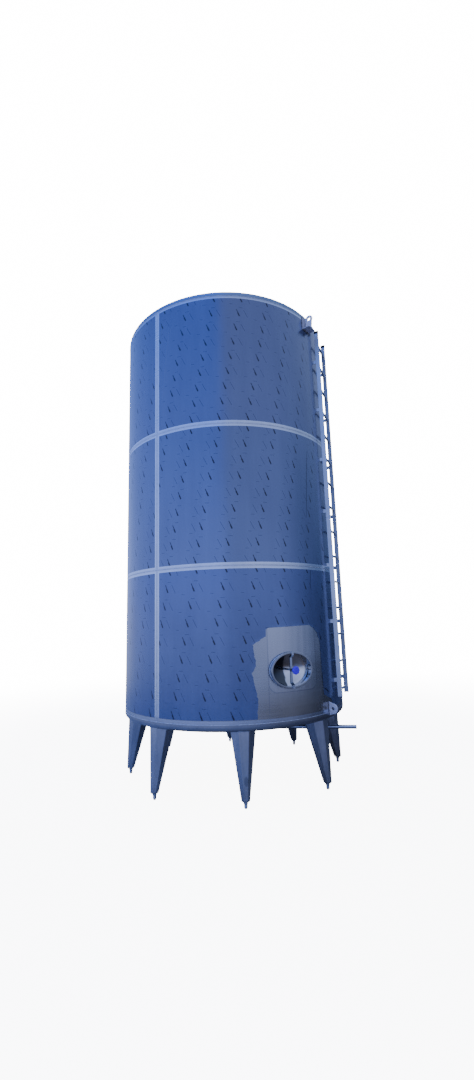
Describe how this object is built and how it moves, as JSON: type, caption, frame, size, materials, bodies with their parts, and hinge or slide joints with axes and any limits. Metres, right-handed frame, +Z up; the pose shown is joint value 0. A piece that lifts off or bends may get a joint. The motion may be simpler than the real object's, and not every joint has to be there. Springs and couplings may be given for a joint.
{
  "type": "vertical storage tank",
  "caption": "Upright cylindrical stainless storage tank wrapped in protective film, on short tapered legs, with oval manway, ladder, lifting lugs and bottom outlet.",
  "frame": {"origin": "middle of the footprint box at floor level; the tank's own axis stands 0.0475 m behind it, along +Y", "axes": "+Z up, -Y out of the manway"},
  "size_m": [2.554, 2.649, 5.729],
  "materials": {
    "film_covered_plate": "blue protective film on stainless plate",
    "stainless_steel": "mill finish",
    "foot_steel": "turned",
    "polished_steel": "polished",
    "seal": "white silicone",
    "knob_plastic": "moulded"
  },
  "bodies": {
    "tank": {"shell_course_lower": "film_covered_plate", "shell_panel_manway": "film_covered_plate", "shell_course_middle": "film_covered_plate", "shell_course_upper": "film_covered_plate", "roof_rim": "stainless_steel", "roof_panel_hatch": "stainless_steel", "roof_panel_1": "stainless_steel", "roof_panel_2": "stainless_steel", "roof_panel_3": "stainless_steel", "roof_panel_4": "stainless_steel", "bottom_rim": "stainless_steel", "bottom_cone": "stainless_steel", "leg_1": "stainless_steel", "leg_2": "stainless_steel", "leg_3": "stainless_steel", "leg_4": "stainless_steel", "leg_5": "stainless_steel", "leg_6": "stainless_steel", "leg_7": "stainless_steel", "leg_8": "stainless_steel", "lifting_lug_front": "stainless_steel", "lifting_lug_rear": "stainless_steel", "tailing_lug": "stainless_steel", "ladder_lower": "stainless_steel", "ladder_upper": "stainless_steel", "roof_hatch_neck": "stainless_steel", "roof_hatch_lid": "stainless_steel", "breather_valve": "stainless_steel", "foot_1": "foot_steel", "foot_2": "foot_steel", "foot_3": "foot_steel", "foot_4": "foot_steel", "foot_5": "foot_steel", "foot_6": "foot_steel", "foot_7": "foot_steel", "foot_8": "foot_steel", "manway_neck": "polished_steel", "drain_pipe": "polished_steel"},
    "manway_bridge": {"manway_bridge": "stainless_steel"},
    "manway_knob": {"manway_knob": "knob_plastic", "manway_knob_nut": "stainless_steel"},
    "manway_door": {"manway_door": "polished_steel", "manway_gasket": "seal", "manway_spindle": "stainless_steel"}
  },
  "joints": [
    {"name": "bridge_turn", "type": "hinge", "parent": "tank", "child": "manway_bridge", "pos_m": [0, -1.2575, 1.206], "axis": [0, -1, 0], "range_deg": [0, 90]},
    {"name": "knob_turn", "type": "hinge", "parent": "manway_bridge", "child": "manway_knob", "pos_m": [0, -1.3075, 1.206], "axis": [0, -1, 0], "range_deg": [0, 1800]},
    {"name": "door_slide", "type": "slide", "parent": "tank", "child": "manway_door", "axis": [0, 1, 0], "range_m": [0, 0.02]}
  ],
  "couplings": [
    {"joint": "door_slide", "follows": "knob_turn", "m_per_rad": 0.0006366}
  ]
}
